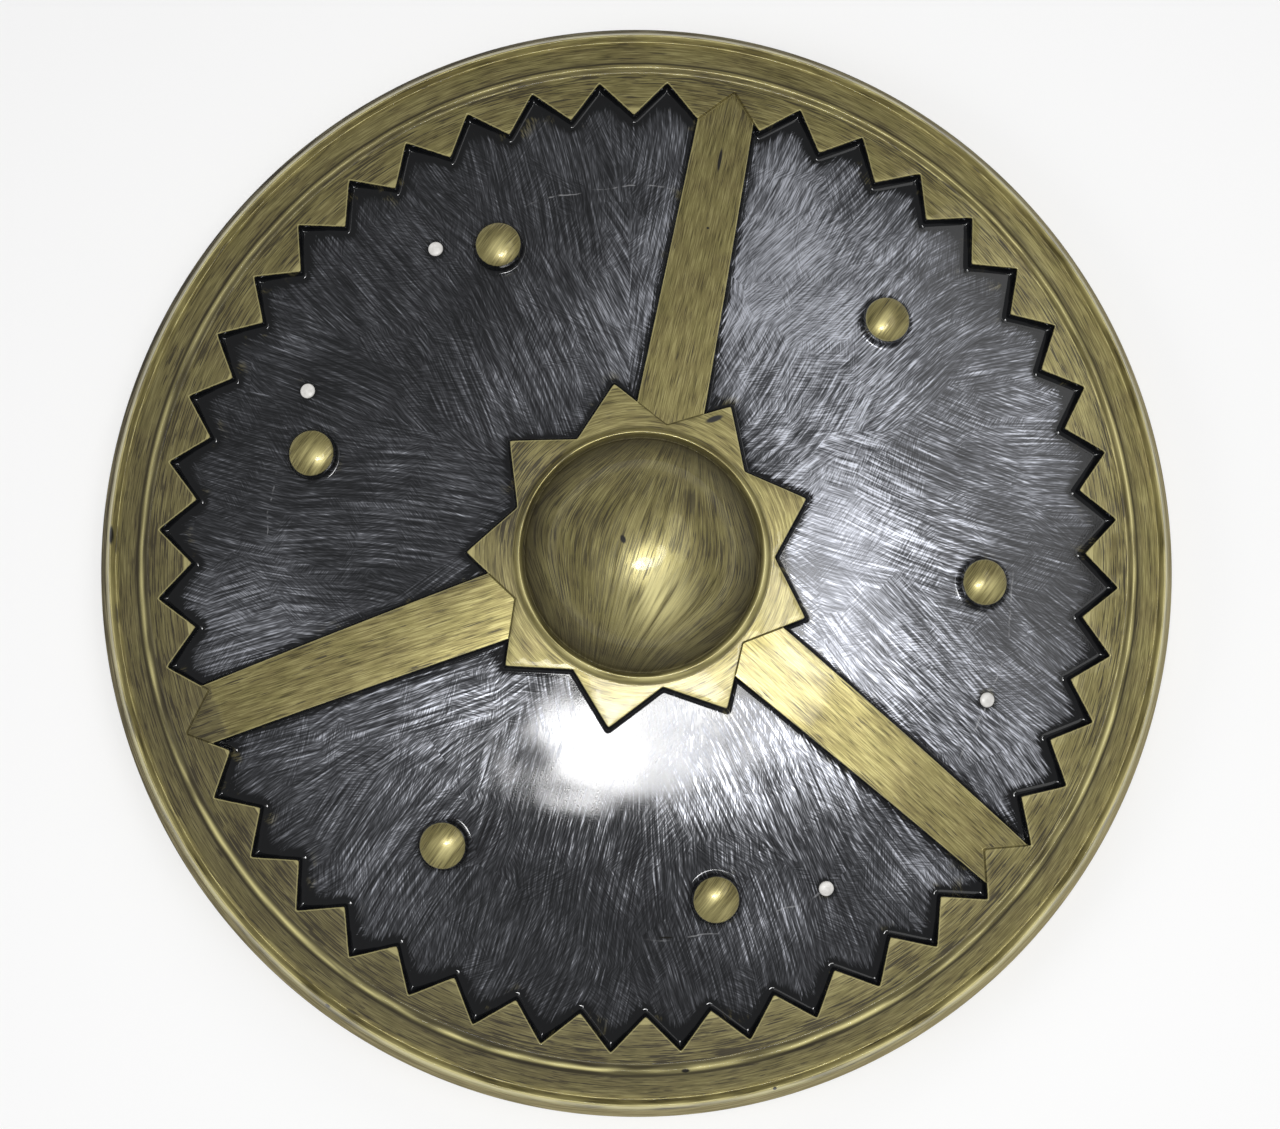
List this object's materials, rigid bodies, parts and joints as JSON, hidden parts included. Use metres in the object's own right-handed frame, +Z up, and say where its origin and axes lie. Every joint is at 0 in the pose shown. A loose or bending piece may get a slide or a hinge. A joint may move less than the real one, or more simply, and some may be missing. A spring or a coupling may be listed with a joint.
{
  "type": "costume viking shield",
  "caption": "Round domed costume shield moulded in thin plastic, with toothed gold rim, bars, star, boss and studs, and two riveted straps behind.",
  "frame": {"origin": "on the ground, under the middle of the shield as it lies on its rim", "axes": "+Z up out of the boss, +Y towards the upper edge of the shield as pictured, +X to its right"},
  "size_m": [0.4954, 0.5044, 0.0857],
  "materials": {
    "painted_sheet": "black moulded sheet, field dry-brushed silver, raised ornament painted antique gold",
    "strap_plastic": "soft black plastic strip, satin",
    "rivet_plastic": "off-white moulded plastic, satin"
  },
  "bodies": {
    "root": {"shield_shell": "painted_sheet", "grip_strap": "strap_plastic", "arm_strap": "strap_plastic", "grip_rivet_1": "rivet_plastic", "grip_rivet_2": "rivet_plastic", "arm_rivet_1": "rivet_plastic", "arm_rivet_2": "rivet_plastic"}
  },
  "joints": []
}
